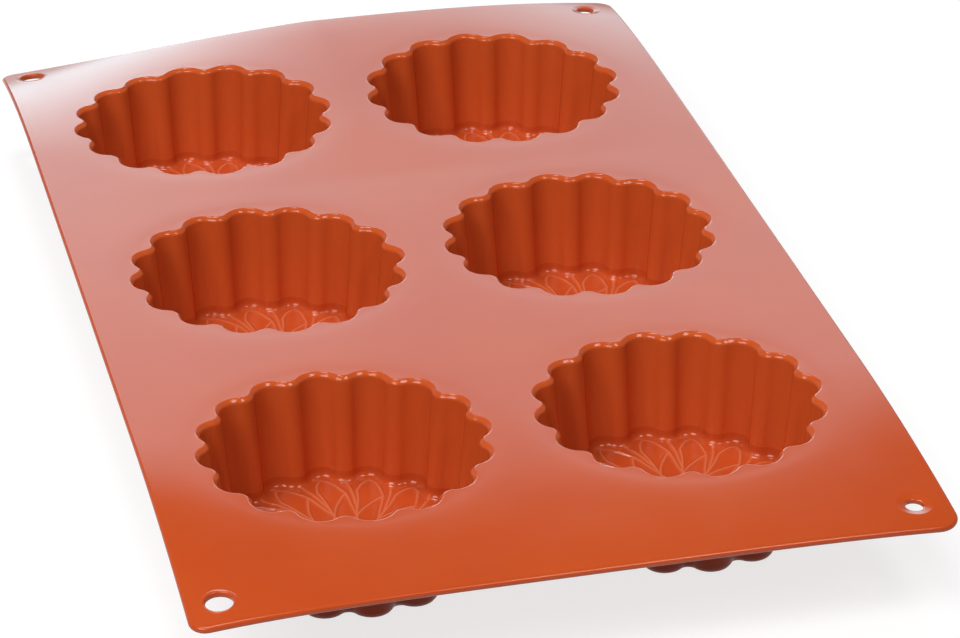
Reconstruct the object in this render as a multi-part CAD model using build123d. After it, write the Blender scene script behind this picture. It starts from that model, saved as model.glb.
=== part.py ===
from build123d import *
import math
import os

# A six-cup silicone baking mould: a thin flexible sheet with rounded corners, six fluted
# tapered cups that hang from it in two rows of three, a flower pressed into each cup's
# floor, and a rimmed hole in each corner of the sheet.
# The frame stands on the table: origin under the middle of the sheet at the height of the
# cup feet, +X across the sheet to the right, +Y along it away from the viewer, +Z up.
# The real thing is one moulding. Its regions are separate solids that meet face to face:
# sheet, cup walls, cup feet with their floors, and the rims of the corner holes.

# One cup, in millimetres. Radii are inside radii: a flute is at its widest at its tip, and
# two flutes meet at a ridge that stands in towards the middle of the cup. Its collar is the
# flat ring round the mouth.
cup_depth = 27.0
flute_count = 16
mouth_tip_radius = 34.7
mouth_flute_depth = 2.6
cup_taper = 3.3
foot_flute_depth = 3.0
ridge_rounding = 2.4
lip_radius = 1.2
wall_thickness = 1.3
collar_width = 1.5
collar_root_radius = 1.0

# The sheet, and how the cups share it: two across and three along, with what the sheet shows
# between their collars and beyond them. It is wider beyond the near cups than the far ones.
cups_across = 2
cups_along = 3
gap_across = 7.6
gap_along = 18.1
side_margin = 11.3
near_margin = 28.8
far_margin = 17.8
sheet_thickness = 1.5
sheet_corner_radius = 6.5
sheet_edge_rounding = 0.6

# The foot of a cup, and the flower pressed into its floor in shallow steps: outer petals
# whose tips point into the flutes, inner petals between them, and a small star in the middle.
floor_thickness = 1.5
floor_fillet = 1.5
foot_fillet = 2.0
foot_seam_rise = 0.7
petal_step = 0.25
petal_tip_gap = 0.8
outer_notch_share = 0.79
outer_bulge_share = 0.12
inner_tip_share = 0.76
inner_notch_share = 0.46
inner_bulge_share = 0.08
bud_tip_share = 0.43
bud_notch_share = 0.28
bud_bulge_share = 0.08

# The corner holes: plain rounded rims on the left, dished rims round smaller holes on the right.
hole_edge_distance = 8.0
left_hole_radius = 3.1
left_rim_width = 1.6
left_rim_rounding = 0.6
right_hole_radius = 2.15
right_rim_width = 2.5
right_dish_width = 1.65
right_dish_depth = 0.45

# How far a cutter runs past the face that it cuts, the largest share of the sheet's
# thickness that an edge's rounding may take, and the sharpest rounding of an outer valley.
overrun = 1.0
most_rounding_share = 0.45
least_rounding_share = 0.1

# Heights and radii that follow from the sizes above.
sheet_top = floor_thickness + cup_depth
sheet_underside = sheet_top - sheet_thickness
foot_seam = floor_thickness + max(floor_fillet, foot_fillet) + foot_seam_rise
foot_tip_radius = mouth_tip_radius - cup_taper
wall_top_tip_radius = mouth_tip_radius - lip_radius
collar_radius = mouth_tip_radius + collar_width
half_flute = math.pi / flute_count
petal_tip_radius = foot_tip_radius - floor_fillet - petal_tip_gap

# The sheet comes out 175 wide and 300 long, with the cups 80 apart across and 90.5 along.
cup_pitch_across = 2 * collar_radius + gap_across
cup_pitch_along = 2 * collar_radius + gap_along
sheet_width = cups_across * cup_pitch_across - gap_across + 2 * side_margin
sheet_length = cups_along * cup_pitch_along - gap_along + near_margin + far_margin
cup_grid_shift = (near_margin - far_margin) / 2


def polar(radius, angle, height):
    return (radius * math.cos(angle), radius * math.sin(angle), height)


def fluted_outline(tip_radius, flute_depth, rounding, height):
    """Closed outline of arcs: a wide arc for each flute, a small one for each ridge."""
    ridge_radius = tip_radius - flute_depth
    ridge_centre = ridge_radius + rounding
    reach = tip_radius - ridge_centre * math.cos(half_flute) + rounding
    chord = tip_radius**2 + ridge_centre**2 - 2 * tip_radius * ridge_centre * math.cos(half_flute)
    flute_radius = (chord - rounding**2) / (2 * reach)
    flute_centre = tip_radius - flute_radius
    share = flute_radius / (flute_radius + rounding)
    meet_x = flute_centre + share * (ridge_centre * math.cos(half_flute) - flute_centre)
    meet_y = share * ridge_centre * math.sin(half_flute)
    meet_radius = math.hypot(meet_x, meet_y)
    meet_angle = math.atan2(meet_y, meet_x)
    arcs = []
    for flute in range(flute_count):
        middle = 2 * half_flute * flute
        start = polar(meet_radius, middle - meet_angle, height)
        end = polar(meet_radius, middle + meet_angle, height)
        onward = polar(meet_radius, middle + 2 * half_flute - meet_angle, height)
        arcs.append(ThreePointArc(start, polar(tip_radius, middle, height), end))
        arcs.append(ThreePointArc(end, polar(ridge_radius, middle + half_flute, height), onward))
    return Wire(arcs)


def inside_outline(height):
    """The inside of the cup at one height: the wall slopes evenly from floor to mouth."""
    rise = (height - floor_thickness) / cup_depth
    tip_radius = foot_tip_radius + rise * (wall_top_tip_radius - foot_tip_radius)
    flute_depth = foot_flute_depth + rise * (mouth_flute_depth - foot_flute_depth)
    return fluted_outline(tip_radius, flute_depth, ridge_rounding, height)


def outside_outline(height):
    """The outside of the cup: the inside outline moved out by the wall thickness."""
    rise = (height - floor_thickness) / cup_depth
    tip_radius = foot_tip_radius + rise * (wall_top_tip_radius - foot_tip_radius)
    flute_depth = foot_flute_depth + rise * (mouth_flute_depth - foot_flute_depth)
    rounding = max(ridge_rounding - wall_thickness, ridge_rounding * least_rounding_share)
    return fluted_outline(tip_radius + wall_thickness, flute_depth, rounding, height)


def star_outline(tip_radius, notch_radius, bulge, first_tip, height):
    """A ring of pointed petals: two bowed arcs from each tip to the notches beside it."""
    arcs = []
    for petal in range(flute_count):
        tip_angle = first_tip + 2 * half_flute * petal
        for side in (-1, 1):
            tip = Vector(*polar(tip_radius, tip_angle, height))
            notch = Vector(*polar(notch_radius, tip_angle + side * half_flute, height))
            along = (notch - tip).normalized()
            outward = Vector(along.Y, -along.X, 0) * side
            middle = (tip + notch) * 0.5 + outward * bulge
            start, end = (notch, tip) if side < 0 else (tip, notch)
            arcs.append(ThreePointArc(start, middle, end))
    return Wire(arcs)


def prism(outline, height):
    return Solid.extrude(Face(outline), Vector(0, 0, height))


def make_sheet():
    blank = extrude(RectangleRounded(sheet_width, sheet_length, sheet_corner_radius), sheet_thickness)
    rounding = min(sheet_edge_rounding, sheet_thickness * most_rounding_share)
    rims = blank.faces().sort_by(Axis.Z)[-1].edges() + blank.faces().sort_by(Axis.Z)[0].edges()
    blank = Pos(0, 0, sheet_underside) * fillet(rims, rounding)
    middle = sheet_underside + sheet_thickness / 2
    for place in cup_places().values():
        blank -= Pos(*place, middle) * Cylinder(collar_radius, sheet_thickness + 2 * overrun)
    for place, rim_radius, _ in corner_holes().values():
        blank -= Pos(*place, middle) * Cylinder(rim_radius, sheet_thickness + 2 * overrun)
    return blank


def make_cup_wall():
    wall = Solid.make_loft([outside_outline(foot_seam), outside_outline(sheet_top)], True)
    wall += Pos(0, 0, sheet_underside + sheet_thickness / 2) * Cylinder(collar_radius, sheet_thickness)
    wall -= Solid.make_loft([inside_outline(foot_seam), inside_outline(sheet_top)], True)
    lip = wall.faces().sort_by(Axis.Z)[-1].inner_wires()[0].edges()
    wall = fillet(lip, lip_radius)
    underside = wall.faces().filter_by(Axis.Z).sort_by(Axis.Z)[-2]
    return fillet(underside.inner_wires()[0].edges(), collar_root_radius)


def make_cup_foot():
    foot = Solid.make_loft([outside_outline(0), outside_outline(foot_seam)], True)
    foot = foot - Solid.make_loft([inside_outline(floor_thickness), inside_outline(foot_seam)], True)
    foot = fillet(foot.faces().sort_by(Axis.Z)[0].edges(), foot_fillet)
    floor = foot.faces().filter_by(Axis.Z).sort_by(Axis.Z)[1]
    foot = fillet(floor.outer_wire().edges(), floor_fillet)
    rings = (
        (1, outer_notch_share, outer_bulge_share, 0),
        (inner_tip_share, inner_notch_share, inner_bulge_share, half_flute),
        (bud_tip_share, bud_notch_share, bud_bulge_share, 0),
    )
    for layer, (tip_share, notch_share, bulge_share, first_tip) in enumerate(rings):
        bottom = floor_thickness - petal_step * (layer + 1)
        tip_radius = petal_tip_radius * tip_share
        notch_radius = petal_tip_radius * notch_share
        bulge = (tip_radius - notch_radius) * bulge_share
        outline = star_outline(tip_radius, notch_radius, bulge, first_tip, bottom)
        foot -= prism(outline, petal_step * (layer + 1) + overrun)
    return foot


def cup_places():
    """Name and place of each cup, from the near left to the far right."""
    places = {}
    for row, along in enumerate(("near", "middle", "far")):
        for column, across in enumerate(("left", "right")):
            x = (column - (cups_across - 1) / 2) * cup_pitch_across
            y = (row - (cups_along - 1) / 2) * cup_pitch_along + cup_grid_shift
            places[f"{along}_{across}"] = (x, y)
    return places


def corner_holes():
    """Name of each corner hole, with its place, its rim's radius and what makes the rim."""
    x = sheet_width / 2 - hole_edge_distance
    y = sheet_length / 2 - hole_edge_distance
    left = left_hole_radius + left_rim_width
    right = right_hole_radius + right_rim_width
    return {
        "near_left": ((-x, -y), left, make_left_rim),
        "near_right": ((x, -y), right, make_right_rim),
        "far_left": ((-x, y), left, make_left_rim),
        "far_right": ((x, y), right, make_right_rim),
    }


def make_left_rim(radius):
    rim = Cylinder(radius, sheet_thickness) - Cylinder(left_hole_radius, sheet_thickness)
    hole_edges = [face.inner_wires()[0].edge() for face in rim.faces().filter_by(Axis.Z)]
    return fillet(hole_edges, min(left_rim_rounding, sheet_thickness * most_rounding_share))


def make_right_rim(radius):
    rim = Cylinder(radius, sheet_thickness) - Cylinder(right_hole_radius, sheet_thickness)
    dish = Cone(right_hole_radius, right_hole_radius + right_dish_width, right_dish_depth)
    return rim - Pos(0, 0, (sheet_thickness - right_dish_depth) / 2) * dish


os.makedirs("parts", exist_ok=True)
export_step(make_sheet(), "parts/sheet.step")
cup_wall = make_cup_wall()
cup_foot = make_cup_foot()
for name, place in cup_places().items():
    export_step(Pos(*place) * cup_wall, f"parts/cup_wall_{name}.step")
    export_step(Pos(*place) * cup_foot, f"parts/cup_foot_{name}.step")
for name, (place, rim_radius, make_rim) in corner_holes().items():
    rim = Pos(*place, sheet_underside + sheet_thickness / 2) * make_rim(rim_radius)
    export_step(rim, f"parts/hole_rim_{name}.step")
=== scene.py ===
import math

import bpy
import numpy as np
from mathutils import Matrix, Vector, geometry


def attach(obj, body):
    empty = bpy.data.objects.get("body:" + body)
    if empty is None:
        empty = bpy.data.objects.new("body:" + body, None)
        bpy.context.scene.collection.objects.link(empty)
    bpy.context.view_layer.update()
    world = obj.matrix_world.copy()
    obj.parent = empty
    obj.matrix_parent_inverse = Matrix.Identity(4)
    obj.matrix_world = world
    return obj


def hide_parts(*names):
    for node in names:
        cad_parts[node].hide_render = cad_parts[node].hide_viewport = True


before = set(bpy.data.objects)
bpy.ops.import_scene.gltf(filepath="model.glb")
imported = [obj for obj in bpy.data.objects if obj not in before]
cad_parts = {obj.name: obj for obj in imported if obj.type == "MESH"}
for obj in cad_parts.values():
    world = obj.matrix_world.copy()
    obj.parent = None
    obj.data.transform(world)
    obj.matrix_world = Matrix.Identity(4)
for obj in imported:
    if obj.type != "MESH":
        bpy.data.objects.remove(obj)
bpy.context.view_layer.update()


# The camera stands at the left front of the mould and looks down along its length with a
# long lens, as in the photograph, whose frame is 960 x 638 pixels.
lens_mm, sensor_mm = 152.25, 36
nearest_seen, farthest_seen = 0.01, 50
camera_place = Vector((-0.20032, -0.88150, 0.48846))
camera_azimuth = math.radians(-13.593)
camera_elevation = math.radians(27.811)
camera_roll = math.radians(-0.355)

level = math.cos(camera_elevation)
back = Vector((math.sin(camera_azimuth) * level, -math.cos(camera_azimuth) * level,
               math.sin(camera_elevation)))
right = Vector((0, 0, 1)).cross(back).normalized()
up = back.cross(right)
camera_x = right * math.cos(camera_roll) + up * math.sin(camera_roll)
camera_y = up * math.cos(camera_roll) - right * math.sin(camera_roll)

camera = bpy.data.objects.new("camera", bpy.data.cameras.new("camera"))
camera.data.lens = lens_mm
camera.data.sensor_width = sensor_mm
camera.data.clip_start, camera.data.clip_end = nearest_seen, farthest_seen
turn = Matrix((camera_x, camera_y, back)).transposed().to_4x4()
camera.matrix_world = Matrix.Translation(camera_place) @ turn
bpy.context.collection.objects.link(camera)
bpy.context.scene.camera = camera
bpy.context.scene.view_settings.view_transform = "Standard"


# The sheet is the flange that holds the six cups together. The whole mould is pressed in one
# shot from silicone rubber, here coloured terracotta, and the sheet is its 1.5 mm thick part.
# It has taken a slight set in use: both ends bend, and the corners droop. Sizes are in mm.
mm = 0.001
sheet_width, sheet_length, sheet_thickness = 175.0, 300.0, 1.5
sheet_top = 28.5
sheet_corner_radius, near_right_corner_radius = 4.2, 5.6
sheet_edge_rounding = 0.74

# The bow. A rise is how far a place stands above the moulded plane, at its own end or side.
near_bend_start, far_bend_start, far_ramp_start = -76.0, 78.0, 50.0
near_middle_rise, near_left_rise, near_right_rise = -2.3, -3.4, -1.9
far_middle_rise, far_left_rise, far_right_rise = 2.0, -6.4, -2.6
far_edge_rise = -0.35
left_side_rise, right_side_rise = 1.1, 0.5
mouth_radius, mouth_dip, mouth_dip_reach = 34.9, 0.08, 2.5

# The cups and the corner holes that the sheet carries. A collar is the ring by which a cup
# joins the sheet, and its points are spaced as on a fluted ring just inside its lip. The
# steps are how many points go round one flute, one ridge and one hole.
collar_radius = 36.2
flute_count = 16
flute_steps, ridge_steps, hole_steps = 24, 24, 48
collar_tip, collar_flute_depth, collar_ridge_rounding = 33.5, 2.7, 3.5
cup_centres = {f"{along}_{across}": (x, y)
               for along, y in (("near", -85.0), ("middle", 5.5), ("far", 96.0))
               for across, x in (("left", -40.0), ("right", 40.0))}
hole_centres = {"near_left": (-79.8, -141.6), "near_right": (79.0, -140.1),
                "far_left": (-79.8, 142.0), "far_right": (78.8, 142.9)}
left_rim_radius, right_rim_radius = 4.7, 4.65
hole_rim_radii = {name: left_rim_radius if "left" in name else right_rim_radius
                  for name in hole_centres}


def bow(x, y):
    """How far the sheet stands above or below its moulded plane, in mm."""
    leftward = np.clip(-x / (sheet_width / 2), 0, None)
    rightward = np.clip(x / (sheet_width / 2), 0, None)
    near = np.clip((near_bend_start - y) / (near_bend_start + sheet_length / 2), 0, None) ** 2
    far = np.clip((y - far_bend_start) / (sheet_length / 2 - far_bend_start), 0, None)
    near_rise = near_middle_rise + near_left_rise * leftward**4 + near_right_rise * rightward**4
    far_rise = (far_left_rise * leftward**1.4 * far**2.5 + far_right_rise * rightward**3 * far**3
                + far_edge_rise * far**10)
    ramp = np.clip((y - far_ramp_start) / (sheet_length / 2 - far_ramp_start), 0, None) ** 1.2
    lift = np.clip(1 - leftward, 0, None) ** 1.2 * np.clip(1 - rightward**3, 0, None)
    sides = left_side_rise * leftward**4 + right_side_rise * rightward**4
    dip = 0
    for centre in cup_centres.values():
        away = np.clip(np.hypot(x - centre[0], y - centre[1]) - mouth_radius, 0, None)
        dip = dip + mouth_dip * np.exp(-away / mouth_dip_reach)
    return near * near_rise + far_rise + far_middle_rise * lift * ramp + sides - dip


def sheet_normals(points):
    """The direction that the bowed sheet faces at each point."""
    x, y, step = points[:, 0], points[:, 1], 0.2
    slope_x = (bow(x + step, y) - bow(x - step, y)) / (2 * step)
    slope_y = (bow(x, y + step) - bow(x, y - step)) / (2 * step)
    normals = np.stack((-slope_x, -slope_y, np.ones(len(x))), axis=1)
    return normals / np.linalg.norm(normals, axis=1)[:, None]


def bowed(points):
    """Points of the flat moulding, moved with the sheet's bow."""
    moved = np.array(points, dtype=float)
    moved[:, 2] += bow(moved[:, 0], moved[:, 1])
    return moved


def fluted_ring(tip_radius, flute_depth, ridge_rounding):
    """Points and outward directions round one level of a cup: sixteen wide arcs for the
    flutes, joined by sixteen small arcs for the ridges between them."""
    half = math.pi / flute_count
    ridge_centre = tip_radius - flute_depth + ridge_rounding
    reach = tip_radius - ridge_centre * math.cos(half) + ridge_rounding
    chord = tip_radius**2 + ridge_centre**2 - 2 * tip_radius * ridge_centre * math.cos(half)
    flute_radius = (chord - ridge_rounding**2) / (2 * reach)
    flute_centre = tip_radius - flute_radius
    ridge_place = np.array((math.cos(half), math.sin(half))) * ridge_centre
    lean = math.atan2(ridge_place[1], ridge_place[0] - flute_centre)
    swing = math.pi + lean - half
    points, outward = [], []
    for step in range(flute_steps):
        angle = lean * (2 * step / flute_steps - 1)
        facing = np.array((math.cos(angle), math.sin(angle)))
        points.append(np.array((flute_centre, 0)) + facing * flute_radius)
        outward.append(facing)
    for step in range(ridge_steps):
        angle = half + swing - 2 * (swing - math.pi) * step / ridge_steps
        facing = np.array((math.cos(angle), math.sin(angle)))
        points.append(ridge_place + facing * ridge_rounding)
        outward.append(-facing)
    ring = []
    for flute in range(flute_count):
        turn = 2 * half * flute
        spin = np.array(((math.cos(turn), math.sin(turn)), (-math.sin(turn), math.cos(turn))))
        ring.append(np.concatenate((points @ spin, outward @ spin), axis=1))
    ring = np.concatenate(ring)
    return ring[:, :2], ring[:, 2:]


def circle(angles, centre, radius, height):
    """A level circle with a point at each of the angles."""
    x, y = centre[0] + radius * np.cos(angles), centre[1] + radius * np.sin(angles)
    return np.stack((x, y, np.full(len(angles), height)), axis=1)


def band(rows, normals, finish, turned=False):
    """A patch of quads between closed rows of points; turned over, it faces the other way."""
    row_count, columns = rows.shape[:2]
    here = np.arange(columns)
    onward = np.roll(here, -1)
    faces = []
    for row in range(row_count - 1):
        above, below = row * columns, (row + 1) * columns
        corners = (above + here, above + onward, below + onward, below + here)
        faces.append(np.stack(corners[::-1] if turned else corners, axis=1))
    listed = None if normals is None else normals.reshape(-1, 3)
    return rows.reshape(-1, 3), np.concatenate(faces), listed, finish


def moulded_piece(name, patches, finishes):
    """One closed mesh from patches of points, faces, normals and the number of a finish.
    Points of two patches that fall together are one vertex, and each corner of a face keeps
    the normal of its own patch, so that the seams don't show."""
    weld_steps_per_mm, tiny = 5000, 1e-12
    numbers, places, faces, corner_normals, face_finishes = {}, [], [], [], []
    for points, patch_faces, normals, finish in patches:
        keys = np.round(points * weld_steps_per_mm).astype(int).tolist()
        index = []
        for key, point in zip(map(tuple, keys), points.tolist()):
            if key not in numbers:
                numbers[key] = len(places)
                places.append(point)
            index.append(numbers[key])
        for face in patch_faces.tolist():
            kept = [corner for at, corner in enumerate(face)
                    if index[corner] != index[face[at - 1]]]
            if len(kept) < 3:
                continue
            faces.append([index[corner] for corner in kept])
            face_finishes.append(finish)
            if normals is None:
                a, b, c = (points[corner] for corner in kept[:3])
                flat = np.cross(b - a, c - b)
                flat = flat / max(np.linalg.norm(flat), tiny)
                corner_normals.extend([flat.tolist()] * len(kept))
            else:
                corner_normals.extend(normals[corner].tolist() for corner in kept)
    mesh = bpy.data.meshes.new(name)
    mesh.from_pydata((np.array(places) * mm).tolist(), [], faces)
    mesh.polygons.foreach_set("use_smooth", [True] * len(faces))
    mesh.polygons.foreach_set("material_index", face_finishes)
    for finish in finishes:
        mesh.materials.append(finish)
    mesh.normals_split_custom_set(corner_normals)
    piece = bpy.data.objects.new(name, mesh)
    bpy.context.collection.objects.link(piece)
    return piece


def colour(code):
    """An sRGB hex value as the linear colour that the shader works in."""
    shares = [int(code[at:at + 2], 16) / 255 for at in (1, 3, 5)]
    return [s / 12.92 if s <= 0.04045 else ((s + 0.055) / 1.055) ** 2.4 for s in shares] + [1]


def add(tree, kind, inputs=None, **settings):
    """Adds a node with its settings, and gives each of its inputs a value or a link."""
    made = tree.nodes.new("ShaderNode" + kind)
    for name, value in settings.items():
        setattr(made, name, value)
    for name, value in (inputs or {}).items():
        if isinstance(value, bpy.types.NodeSocket):
            tree.links.new(value, made.inputs[name])
        else:
            made.inputs[name].default_value = value
    return made


def silicone(name, pigment, deep_pigment, roughness, roughness_spread, grain_mm, grain_height):
    """Moulded silicone rubber: an opaque pigmented elastomer that copies the finish of its
    mould. Its colour drifts a little over some 45 mm, where the pigment is mixed less well,
    and its gloss over some 14 mm, as handling leaves it. A fine grain breaks up what it
    mirrors. The real grain is too fine to show from here, so it is drawn coarser."""
    cloud_mm, smear_mm, silicone_ior = 45, 14, 1.41
    material = bpy.data.materials.new(name)
    material.use_nodes = True
    tree = material.node_tree
    shader = tree.nodes["Principled BSDF"]
    place = add(tree, "TexCoord").outputs["Object"]
    cloud = add(tree, "TexNoise", {"Vector": place, "Scale": 1 / (cloud_mm * mm),
                                   "Detail": 3.0, "Roughness": 0.55})
    tone = add(tree, "MapRange", {"Value": cloud.outputs["Fac"], "From Min": 0.32,
                                  "From Max": 0.68})
    paint = add(tree, "Mix", {0: tone.outputs["Result"], 6: colour(deep_pigment),
                              7: colour(pigment)}, data_type="RGBA")
    smear = add(tree, "TexNoise", {"Vector": place, "Scale": 1 / (smear_mm * mm),
                                   "Detail": 4.0, "Roughness": 0.6})
    dull = add(tree, "MapRange", {"Value": smear.outputs["Fac"], "From Min": 0.3,
                                  "From Max": 0.7, "To Min": roughness - roughness_spread,
                                  "To Max": roughness + roughness_spread})
    grain = add(tree, "TexNoise", {"Vector": place, "Scale": 1 / (grain_mm * mm),
                                   "Detail": 2.0, "Roughness": 0.5})
    bump = add(tree, "Bump", {"Height": grain.outputs["Fac"], "Strength": 1.0,
                              "Distance": grain_height * mm})
    tree.links.new(paint.outputs[2], shader.inputs["Base Color"])
    tree.links.new(dull.outputs["Result"], shader.inputs["Roughness"])
    tree.links.new(bump.outputs["Normal"], shader.inputs["Normal"])
    shader.inputs["IOR"].default_value = silicone_ior
    return material


# The sheet and the collars round the cups come from a satin part of the mould: they mirror the
# studio's light softly, so that most of the sheet looks pale pink and only its near end shows its
# pigment.
satin_silicone = silicone("satin_silicone", "#CF5525", "#CA5023", roughness=0.15,
                          roughness_spread=0.02, grain_mm=0.9, grain_height=0.0015)

# The outline of the sheet, anticlockwise from the start of its far right corner.
corner_steps, side_spacing = 10, 3.0
corner_radii = [sheet_corner_radius] * 3 + [near_right_corner_radius]
corner_sides = ((1, 1), (-1, 1), (-1, -1), (1, -1))
outline, outline_out = [], []
for corner, sides in enumerate(corner_sides):
    radius, next_radius = corner_radii[corner], corner_radii[(corner + 1) % len(corner_radii)]
    reach = np.array((sheet_width, sheet_length)) / 2 - radius
    centre = reach * np.array(sides)
    for step in range(corner_steps + 1):
        angle = math.pi / 2 * corner + math.pi / 2 * step / corner_steps
        facing = np.array((math.cos(angle), math.sin(angle)))
        outline.append(centre + facing * radius)
        outline_out.append(facing)
    span = (sheet_length if corner % 2 else sheet_width) - radius - next_radius
    heading = np.array((-math.sin(angle), math.cos(angle)))
    pieces_of_side = int(span / side_spacing)
    last = outline[-1]
    for step in range(1, pieces_of_side):
        outline.append(last + heading * span * step / pieces_of_side)
        outline_out.append(facing)
outline, outline_out = np.array(outline), np.array(outline_out)

# Its edge, rounded above and below.
edge_steps = 5
tilts = [math.pi / 2 * step / edge_steps for step in range(edge_steps + 1)]
upper = [(tilt, sheet_top - sheet_edge_rounding) for tilt in tilts]
lower = [(math.pi - tilt, sheet_top - sheet_thickness + sheet_edge_rounding)
         for tilt in reversed(tilts)]
edge_rows = []
for tilt, rounding_centre in upper + lower:
    height = rounding_centre + sheet_edge_rounding * math.cos(tilt)
    ring = outline - outline_out * sheet_edge_rounding * (1 - math.sin(tilt))
    edge_rows.append(np.column_stack((ring, np.full(len(ring), height))))
edge_rows = np.array(edge_rows)
facing_up = sheet_normals(edge_rows[0])
facing_out = np.column_stack((outline_out, np.zeros(len(outline))))
edge_normals = np.array([facing_up * math.cos(tilt) + facing_out * math.sin(tilt)
                         for tilt, _ in upper + lower])
edge_rows = np.array([bowed(row) for row in edge_rows])

# Its openings, each with the clear space that the net's own points leave round it. Round a
# mouth there is a point for each column of the cup, so that the two meet without a gap.
clear_of_collars, clear_of_edges, clear_of_outline = 5.0, 1.4, 1.5
around, _ = fluted_ring(collar_tip, collar_flute_depth, collar_ridge_rounding)
mouth_angles = np.arctan2(around[:, 1], around[:, 0])
hole_angles = np.arange(hole_steps) * 2 * math.pi / hole_steps
openings = ([(mouth_angles, centre, collar_radius, clear_of_collars)
             for centre in cup_centres.values()]
            + [(hole_angles, centre, hole_rim_radii[name], clear_of_edges)
               for name, centre in hole_centres.items()])

# Its two faces: a net of triangles between the outline and the openings, closer round the
# collars, where the sheet dips.
net_spacing, net_margin, net_tolerance = 3.0, 2.5, 1e-6
rings_round_collars, column_stride = (0.7, 1.6, 2.8, 4.3), 6
flat_points, loops = [], []
for ring in ([outline - outline_out * sheet_edge_rounding]
             + [circle(angles, centre, radius, 0)[:, :2]
                for angles, centre, radius, _ in openings]):
    first = len(flat_points)
    flat_points.extend(ring.tolist())
    loops.extend((first + at, first + (at + 1) % len(ring)) for at in range(len(ring)))
for centre in cup_centres.values():
    for away in rings_round_collars:
        ring = circle(mouth_angles, centre, collar_radius + away, 0)[::column_stride, :2]
        most = np.array((sheet_width, sheet_length)) / 2 - clear_of_outline
        inside = np.all(np.abs(ring) < most, axis=1)
        apart = [all(other == centre or math.dist(point, other) > collar_radius + away
                     for other in cup_centres.values()) for point in ring]
        flat_points.extend(ring[inside & np.array(apart)].tolist())
most_corner = near_right_corner_radius
for x in np.arange(-sheet_width / 2 + net_margin, sheet_width / 2 - net_margin, net_spacing):
    for y in np.arange(-sheet_length / 2 + net_margin, sheet_length / 2 - net_margin, net_spacing):
        open_here = all(math.dist((x, y), centre) > radius + clear
                        for _, centre, radius, clear in openings)
        corner_x = max(abs(x) - sheet_width / 2 + most_corner, 0)
        corner_y = max(abs(y) - sheet_length / 2 + most_corner, 0)
        if open_here and math.hypot(corner_x, corner_y) < most_corner - clear_of_edges:
            flat_points.append((x, y))
inside_only, with_origins = 1, True
net = geometry.delaunay_2d_cdt([Vector(point) for point in flat_points], loops, [],
                               inside_only, net_tolerance, with_origins)
net_faces, net_origins = net[2], net[3]
own = [min(origins) for origins in net_origins]
flat_points = np.array(flat_points)
triangles = []
for face in net_faces:
    corners = [own[at] for at in face]
    middle = flat_points[corners].mean(axis=0)
    if all(math.dist(middle, centre) > radius for _, centre, radius, _ in openings):
        a, b, c = flat_points[corners]
        if (b[0] - a[0]) * (c[1] - a[1]) - (b[1] - a[1]) * (c[0] - a[0]) < 0:
            corners.reverse()
        triangles.append(corners)
triangles = np.array(triangles)
heights = np.full(len(flat_points), sheet_top)
top_points = bowed(np.column_stack((flat_points, heights)))
under_points = bowed(np.column_stack((flat_points, heights - sheet_thickness)))
top_normals = sheet_normals(top_points)
patches = [(top_points, triangles, top_normals, 0),
           (under_points, triangles[:, ::-1], -top_normals, 0),
           band(edge_rows, edge_normals, 0, turned=True)]
for angles, centre, radius, _ in openings:
    rows = [bowed(circle(angles, centre, radius, sheet_top - drop))
            for drop in (0, sheet_thickness)]
    patches.append(band(np.array(rows), None, 0))
sheet = moulded_piece("mould_sheet", patches, [satin_silicone])
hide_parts("sheet")
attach(sheet, "root")


# The six cups hang from the sheet: tapered, with sixteen flutes and a rounded lip. The core
# of the mould that forms their inside is polished, so the silicone is glossy there, and the
# outside is left dull. The foot holds the floor, with a flower of pointed petals pressed in.
wall_top_tip, foot_tip = 33.8, 31.4
mouth_flute_depth, foot_flute_depth = 2.7, 3.0
mouth_ridge_rounding, foot_ridge_rounding, outer_ridge_rounding = 3.5, 3.0, 1.6
wall_thickness, floor_thickness = 1.3, 1.5
lip_radius, lip_flat, lip_slope, lip_lower_radius = 0.7, 0.5, math.radians(44), 1.0
collar_root_radius = 1.0
floor_fillet, foot_fillet = 1.5, 2.0
foot_seam = 4.2
underside = sheet_top - sheet_thickness

# The floor's shallow dish, and the crests that stand on it along the edges of the petals.
floor_dish, floor_dish_radius = 1.0, 27.5
# The last number on the next line is how strongly a highlight is painted on the crests.
crest_height, crest_width, crest_fade, crest_highlight_strength = 0.35, 0.42, 1.2, 0.6
floor_lowest, floor_highest = 0.3, 2.4

# The edges of the petals that belong to one flute, each as a line of radii in mm and places
# across the flute, where 0 is its middle and 0.5 the ridge beside it: the two edges of an
# outer petal, the two of the inner petal behind the ridge, and the two of a small one.
petal_lines = (
    ((29.6, 0.0), (28.6, 0.07), (27.0, 0.14), (24.5, 0.2), (20.6, 0.12), (14.6, 0.04)),
    ((29.6, 0.0), (28.6, -0.16), (25.5, -0.35), (23.2, -0.51), (19.2, -0.65), (16.6, -0.77),
     (13.4, -1.0)),
    ((28.2, -0.5), (26.9, -0.56), (24.9, -0.64), (22.7, -0.71), (19.6, -0.8), (16.6, -0.92),
     (14.6, -0.96)),
    ((22.6, -0.47), (19.6, -0.3), (17.0, -0.15), (14.8, -0.05), (13.4, 0.0)),
    ((13.4, 0.0), (11.0, -0.22), (8.0, -0.5)),
    ((13.4, 0.0), (11.0, 0.22), (8.0, 0.5)),
)


def row_at(height, aside=0.0, inside=True):
    """One row of points round a cup, moved out from its wall by some distance."""
    rise = (height - floor_thickness) / (sheet_top - floor_thickness)
    tip = foot_tip + rise * (wall_top_tip - foot_tip)
    depth = foot_flute_depth + rise * (mouth_flute_depth - foot_flute_depth)
    rounding = foot_ridge_rounding + rise * (mouth_ridge_rounding - foot_ridge_rounding)
    if not inside:
        tip, rounding = tip + wall_thickness, outer_ridge_rounding
    points, outward = fluted_ring(tip, depth, rounding)
    points = points + outward * aside
    return np.column_stack((points, np.full(len(points), height)))


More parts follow.
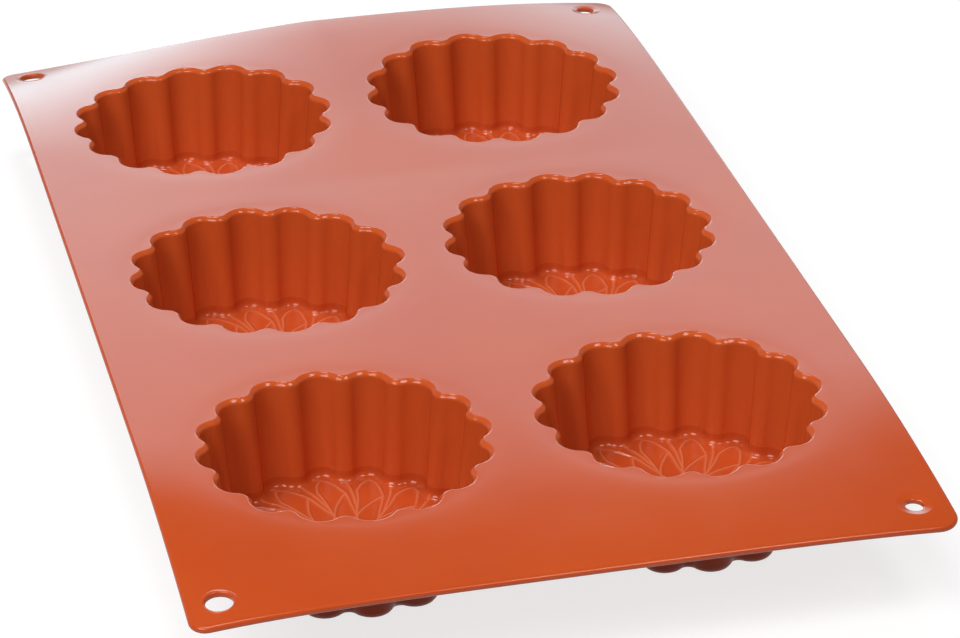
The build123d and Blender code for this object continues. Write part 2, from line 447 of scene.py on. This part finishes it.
def crest_share(points):
    """How near each point of the floor is to a petal's edge, from 0 to 1 on its crest."""
    radius = np.hypot(points[:, 0], points[:, 1])
    share = np.arctan2(points[:, 1], points[:, 0]) / (2 * math.pi / flute_count)
    crest = np.zeros(len(points))
    for line in petal_lines:
        line_radius = np.array([r for r, _ in line])[::-1]
        line_share = np.array([a for _, a in line])[::-1]
        here = np.interp(radius, line_radius, line_share)
        slope = np.gradient(line_share, line_radius)
        steep = np.interp(radius, line_radius, slope) * radius * 2 * math.pi / flute_count
        aside = (share - here + 0.5) % 1 - 0.5
        across = aside * 2 * math.pi / flute_count * radius / np.sqrt(1 + steep**2)
        beyond = np.maximum(radius - line_radius[-1], 0) + np.maximum(line_radius[0] - radius, 0)
        crest = np.maximum(crest, np.exp(-(across**2 + beyond**2) / crest_width**2))
    return crest


def flower(points, from_edge):
    """Heights of the floor: a shallow dish with raised crests along the petals' edges."""
    radius = np.hypot(points[:, 0], points[:, 1])
    dish = floor_dish * np.clip(1 - (radius / floor_dish_radius) ** 2, 0, 1)
    fade = np.clip(from_edge / crest_fade, 0, 1)
    return floor_thickness - dish + crest_height * crest_share(points) * fade


def band_normals(rows, turned=False):
    """Smooth normals of a band, from its neighbouring points."""
    tiny = 1e-9
    across = np.roll(rows, -1, axis=1) - np.roll(rows, 1, axis=1)
    down = np.gradient(rows, axis=0)
    normals = np.cross(across, down) * (-1 if turned else 1)
    return normals / np.maximum(np.linalg.norm(normals, axis=2), tiny)[:, :, None]


def hung(rows, centre):
    """Rows of a cup in its place, its upper part moved with the sheet's bow."""
    placed = rows + np.array((*centre, 0))
    share = np.clip((placed[..., 2] - foot_seam) / (underside - foot_seam), 0, 1)
    placed[..., 2] += bow(placed[..., 0], placed[..., 1]) * share
    return placed


# The lip rolls over from the sheet, runs on in a short slope and turns down into the wall.
arc_steps, lip_steps, lip_lower_steps = 8, 4, 5
quarter = [math.pi / 2 * step / arc_steps for step in range(arc_steps + 1)]
lip_profile = []
for step in range(lip_steps + 1):
    tilt = lip_slope * step / lip_steps
    lip_profile.append((lip_radius * math.sin(tilt), lip_radius * (1 - math.cos(tilt))))
inward, drop = lip_profile[-1]
lip_profile.append((inward + lip_flat / 2 * math.cos(tilt), drop + lip_flat / 2 * math.sin(tilt)))
for step in range(lip_lower_steps + 1):
    tilt = lip_slope + (math.pi / 2 - lip_slope) * step / lip_lower_steps
    lip_profile.append((inward + lip_flat * math.cos(lip_slope)
                        + lip_lower_radius * (math.sin(tilt) - math.sin(lip_slope)),
                        drop + lip_flat * math.sin(lip_slope)
                        + lip_lower_radius * (math.cos(lip_slope) - math.cos(tilt))))
lip_width = lip_profile[-1][0]

# The inside of a cup, from the lip down the wall and over the floor to its middle. The rows
# are close where the petals are fine.
wall_heights = (26.6, 25, 22, 19, 16, 13, 10, 7.5, 5.5, foot_seam, 3.5)
outer_wall_heights = (24, 20, 16, 12, 8, foot_seam, 3.0)
petal_rows, petal_row_spacing = 49, 1 / 84
middle_shares = (0.37, 0.32, 0.27, 0.22, 0.17, 0.12, 0.07)
foot_bottom_shares = (0.97, 0.6, 0.2, 0)
inner_rows = [row_at(sheet_top - drop, lip_width - inward) for inward, drop in lip_profile]
inner_rows += [row_at(height) for height in wall_heights]
inner_seam = len(inner_rows) - 2
inner_rows += [row_at(floor_thickness + floor_fillet * (1 - math.sin(tilt)),
                      -floor_fillet * (1 - math.cos(tilt))) for tilt in quarter]
floor_edge = inner_rows[-1]
floor_shares = [1 - row * petal_row_spacing for row in range(1, petal_rows + 1)]
for share in (*floor_shares, *middle_shares):
    row = floor_edge * (share, share, 0)
    row[:, 2] = flower(row, np.linalg.norm(floor_edge[:, :2] - row[:, :2], axis=1))
    inner_rows.append(row)
middle = floor_edge * 0
middle[:, 2] = inner_rows[-1][:, 2].mean()
inner_rows.append(middle)
inner_rows = np.array(inner_rows)

# Its outside, from the root of the collar down to the flat bottom of the foot.
outer_rows = [row_at(underside - collar_root_radius * (1 - math.cos(tilt)),
                     collar_root_radius * (1 - math.sin(tilt)), inside=False)
              for tilt in quarter[::2]]
outer_rows += [row_at(height, inside=False) for height in outer_wall_heights]
outer_seam = len(outer_rows) - 2
outer_rows += [row_at(foot_fillet * (1 - math.sin(tilt)), -foot_fillet * (1 - math.cos(tilt)),
                      inside=False) for tilt in quarter[::2]]
outer_rows += [outer_rows[-1] * (share, share, 1) for share in foot_bottom_shares]
outer_rows = np.array(outer_rows)

# Three finishes of the same rubber. The polished walls show crisp highlights at the lips, and
# the dull outside scatters the light. The walls' pigment is a little lighter than the sheet's,
# which is painted light, and the floor's is darker, which is painted shade in the cup's bottom.
gloss_silicone = silicone("gloss_silicone", "#D05A29", "#CB5526", roughness=0.13,
                          roughness_spread=0.02, grain_mm=1.4, grain_height=0.001)
pressed_silicone = silicone("pressed_silicone", "#C65024", "#C04C22", roughness=0.13,
                            roughness_spread=0.02, grain_mm=1.4, grain_height=0.001)
dull_silicone = silicone("dull_silicone", "#CF5525", "#CA5023", roughness=0.42,
                         roughness_spread=0.05, grain_mm=0.5, grain_height=0.008)

# The crests of the petals are thin, and a highlight is painted on them: their colour is mixed
# towards a paler orange.
tree = pressed_silicone.node_tree
shader = tree.nodes["Principled BSDF"]
pigment = shader.inputs["Base Color"].links[0].from_socket
crest = add(tree, "Attribute", attribute_name="crest")
painted_crest_highlight = add(tree, "Mix", {0: crest.outputs["Fac"], 6: pigment, 7: colour("#DE8058")},
            data_type="RGBA")
tree.links.new(painted_crest_highlight.outputs[2], shader.inputs["Base Color"])

# A wall has three finishes and a foot two, numbered in the order that their meshes list them.
gloss, satin, dull = 0, 1, 2
pressed, dull_foot = 0, 1
for name, centre in cup_centres.items():
    rows, skin = hung(inner_rows, centre), hung(outer_rows, centre)
    ring = bowed(circle(mouth_angles, centre, collar_radius, sheet_top))
    ring_under = bowed(circle(mouth_angles, centre, collar_radius, underside))
    inner_normals, outer_normals = band_normals(rows), band_normals(skin, turned=True)
    inner_normals[0], inner_normals[-1] = sheet_normals(rows[0]), (0, 0, 1)
    outer_normals[0], outer_normals[-1] = -sheet_normals(skin[0]), (0, 0, -1)
    collar_normals = np.stack((sheet_normals(ring), inner_normals[0]))
    collar_under_normals = np.stack((-sheet_normals(ring_under), outer_normals[0]))
    seam_rows = np.stack((skin[outer_seam], rows[inner_seam]))
    wall_patches = [
        band(np.stack((ring, rows[0])), collar_normals, satin),
        band(rows[:inner_seam + 1], inner_normals[:inner_seam + 1], gloss),
        band(np.stack((ring_under, skin[0])), collar_under_normals, satin, turned=True),
        band(skin[:outer_seam + 1], outer_normals[:outer_seam + 1], dull, turned=True),
        band(np.stack((ring, ring_under)), None, satin, turned=True),
        band(seam_rows, None, dull, turned=True),
    ]
    wall = moulded_piece(f"fluted_wall_{name}", wall_patches,
                         [gloss_silicone, satin_silicone, dull_silicone])
    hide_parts(f"cup_wall_{name}")
    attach(wall, "root")
    foot_patches = [
        band(rows[inner_seam:], inner_normals[inner_seam:], pressed),
        band(skin[outer_seam:], outer_normals[outer_seam:], dull_foot, turned=True),
        band(seam_rows, None, dull_foot),
    ]
    foot = moulded_piece(f"flower_foot_{name}", foot_patches, [pressed_silicone, dull_silicone])
    # A highlight is painted on the floor's crests: each point there keeps how much paler it is
    # drawn.
    places = np.array([vertex.co[:] for vertex in foot.data.vertices]) / mm - (*centre, 0)
    on_floor = (places[:, 2] > floor_lowest) & (places[:, 2] < floor_highest)
    painted_highlight = np.where(on_floor, crest_highlight_strength * crest_share(places) ** 2, 0)
    foot.data.attributes.new("crest", "FLOAT", "POINT").data.foreach_set("value", painted_highlight)
    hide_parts(f"cup_foot_{name}")
    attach(foot, "root")


# Each corner of the sheet has a round hole to hang the mould by, with its own rim in the same
# satin rubber: a low bead and a rounded edge in the left corners, and a shallow dish round a
# smaller hole in the right ones. A profile is a list of radii and depths below the sheet.
left_hole_radius, left_rim_rounding, bead_height = 3.1, 0.6, 0.1
right_hole_radius = 2.15
bead = [(4.1, -0.01), (4.0, -0.05), (3.9, -0.1), (3.8, -0.12)]
rounded_edge = [(left_hole_radius + left_rim_rounding * (1 - math.sin(tilt)),
                 left_rim_rounding * (1 - math.cos(tilt))) for tilt in quarter[::2]]
rounded_edge += [(radius, sheet_thickness - drop) for radius, drop in reversed(rounded_edge)]
left_profile = bead + [(radius, drop - bead_height * (1 - drop / sheet_thickness))
                       for radius, drop in rounded_edge]
right_profile = [(4.15, 0.0), (4.0, 0.015), (3.4, 0.13), (2.9, 0.23), (2.5, 0.31), (2.25, 0.4),
                 (right_hole_radius, 0.55), (right_hole_radius, 1.35), (2.3, sheet_thickness)]
for name, centre in hole_centres.items():
    profile = left_profile if "left" in name else right_profile
    profile = [(hole_rim_radii[name], 0), *profile, (hole_rim_radii[name], sheet_thickness)]
    rows = np.array([bowed(circle(hole_angles, centre, radius, sheet_top - drop))
                     for radius, drop in profile])
    normals = band_normals(rows)
    normals[0], normals[-1] = sheet_normals(rows[0]), -sheet_normals(rows[-1])
    rim_patches = [band(rows, normals, 0), band(rows[[0, -1]], None, 0, turned=True)]
    rim = moulded_piece(f"hanging_rim_{name}", rim_patches, [satin_silicone])
    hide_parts(f"hole_rim_{name}")
    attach(rim, "root")


# The studio's floor: matt white paper under the mould. The camera, and what mirrors the
# floor, see it lifted to white, but it throws no more light on the mould than paper does.
floor_reach, floor_height = 6.0, -0.0001
paper_roughness, paper_specular, paper_lift = 0.9, 0.1, 0.76
floor_mesh = bpy.data.meshes.new("studio_floor")
floor_mesh.from_pydata([(x * floor_reach, y * floor_reach, floor_height)
                        for x, y in ((-1, -1), (1, -1), (1, 1), (-1, 1))], [], [(0, 1, 2, 3)])
studio_floor = bpy.data.objects.new("studio_floor", floor_mesh)
bpy.context.collection.objects.link(studio_floor)
paper = bpy.data.materials.new("white_paper")
paper.use_nodes = True
tree = paper.node_tree
matt = tree.nodes["Principled BSDF"]
matt.inputs["Base Color"].default_value = colour("#9C9C9C")
matt.inputs["Roughness"].default_value = paper_roughness
matt.inputs["Specular IOR Level"].default_value = paper_specular
sight = add(tree, "LightPath")
seen = add(tree, "Math", {0: sight.outputs["Is Camera Ray"], 1: sight.outputs["Is Glossy Ray"]},
           operation="MAXIMUM")
seen = add(tree, "Math", {0: seen.outputs[0], 1: sight.outputs["Is Transmission Ray"]},
           operation="MAXIMUM")
lift = add(tree, "Emission", {"Color": (1, 1, 1, 1), "Strength": paper_lift})
lifted = add(tree, "AddShader", {0: matt.outputs[0], 1: lift.outputs[0]})
mixed = add(tree, "MixShader", {0: seen.outputs[0], 1: matt.outputs[0], 2: lifted.outputs[0]})
tree.links.new(mixed.outputs[0], tree.nodes["Material Output"].inputs["Surface"])
floor_mesh.materials.append(paper)

# The backdrop: white to the camera, faint as a light, and for what mirrors it a broad lit
# screen behind the mould in cool daylight. The screen is given by how high a direction
# points and how far it turns aside from straight behind. It is brighter low down and on
# the left, weaker in its middle, and it fades out at its ends, at its top and near the floor.
# A row below gives the curve, the measure and its start and end, and the share at each.
screen_ahead, screen_aside = (0.235, 0.972, 0.0), (0.972, -0.235, 0.0)
room_light, white, daylight = 0.12, (1.0, 1.0, 1.0, 1.0), (0.6, 1.0, 1.1, 1.0)
world = bpy.data.worlds.new("studio")
bpy.context.scene.world = world
world.use_nodes = True
tree = world.node_tree
sight = add(tree, "LightPath")
direction = add(tree, "TexCoord").outputs["Generated"]
height = add(tree, "SeparateXYZ", {"Vector": direction}).outputs["Z"]
level = add(tree, "VectorMath", {0: direction, 1: (1.0, 1.0, 0.0)}, operation="MULTIPLY")
level = add(tree, "VectorMath", {0: level.outputs["Vector"]}, operation="NORMALIZE")
ahead = add(tree, "VectorMath", {0: level.outputs["Vector"], 1: screen_ahead},
            operation="DOT_PRODUCT").outputs["Value"]
aside = add(tree, "VectorMath", {0: level.outputs["Vector"], 1: screen_aside},
            operation="DOT_PRODUCT").outputs["Value"]
off_middle = add(tree, "Math", {0: aside}, operation="ABSOLUTE").outputs[0]
shares = {}
for name, shape, value, start, end, first, last in (
        ("screen", "LINEAR", height, 0.38, 0.50, 2.4, 1.4),
        ("low_left", "LINEAR", height, 0.22, 0.42, 0.9, 0.0),
        ("left_half", "SMOOTHSTEP", aside, -0.10, 0.02, 1.0, 0.0),
        ("right_foot", "SMOOTHSTEP", height, 0.12, 0.24, 0.35, 1.0),
        ("middle", "SMOOTHSTEP", off_middle, 0.02, 0.10, 1.0, 1.35),
        ("right_end", "SMOOTHSTEP", aside, 0.15, 0.31, 1.0, 0.1),
        ("left_end", "SMOOTHSTEP", aside, -0.32, -0.19, 0.1, 1.0),
        ("behind_only", "SMOOTHSTEP", ahead, 0.0, 0.02, 0.0, 1.0),
        ("top_end", "SMOOTHSTEP", height, 0.525, 0.565, 1.0, 0.0),
        ("low_end", "SMOOTHSTEP", height, 0.06, 0.16, 0.25, 1.0)):
    shares[name] = add(tree, "MapRange", {"Value": value, "From Min": start, "From Max": end,
                                          "To Min": first, "To Max": last},
                       interpolation_type=shape).outputs["Result"]
dim = add(tree, "Math", {0: shares["left_half"], 1: shares["right_foot"]}, operation="MAXIMUM")
main = add(tree, "Math", {0: shares["screen"], 1: dim.outputs[0]}, operation="MULTIPLY")
extra = add(tree, "Math", {0: shares["low_left"], 1: shares["left_half"]}, operation="MULTIPLY")
screen = add(tree, "Math", {0: main.outputs[0], 1: extra.outputs[0]}, operation="ADD").outputs[0]
for name in ("middle", "right_end", "left_end", "behind_only", "top_end", "low_end"):
    screen = add(tree, "Math", {0: screen, 1: shares[name]}, operation="MULTIPLY").outputs[0]
mirrored = add(tree, "Math", {0: sight.outputs["Is Glossy Ray"],
                              1: sight.outputs["Is Transmission Ray"]},
               operation="MAXIMUM").outputs[0]
around = add(tree, "Mix", {0: mirrored, 2: room_light, 3: screen}, data_type="FLOAT")
strength = add(tree, "Mix", {0: sight.outputs["Is Camera Ray"], 2: around.outputs[0], 3: 1.0},
               data_type="FLOAT")
tint = add(tree, "Mix", {0: mirrored, 6: white, 7: daylight}, data_type="RGBA")
tree.links.new(tint.outputs[2], tree.nodes["Background"].inputs["Color"])
tree.links.new(strength.outputs[0], tree.nodes["Background"].inputs["Strength"])

# The lamps: a small key light in front, which makes the highlights at the lips, a small one
# overhead, and a broad one at the left, which shades one flank of each flute. A row gives a
# lamp's name, place, width, depth and radiance, and each is turned to the middle of the mould.
lit_middle = Vector((0, 0, 0.02))
for name, place, width, depth, radiance in (
        ("front_light", (0.37, -0.60, 1.13), 0.34, 0.40, 8.5),
        ("top_light", (-0.12, 0.17, 0.86), 0.21, 0.21, 15.0),
        ("side_light", (-0.75, -0.68, 1.07), 0.80, 0.80, 6.4)):
    lamp = bpy.data.lights.new(name, "AREA")
    lamp.shape = "RECTANGLE"
    lamp.size, lamp.size_y = width, depth
    lamp.energy = radiance * math.pi * width * depth
    stand = bpy.data.objects.new(name, lamp)
    stand.location = place
    stand.rotation_euler = (Vector(place) - lit_middle).to_track_quat("Z", "Y").to_euler()
    bpy.context.collection.objects.link(stand)
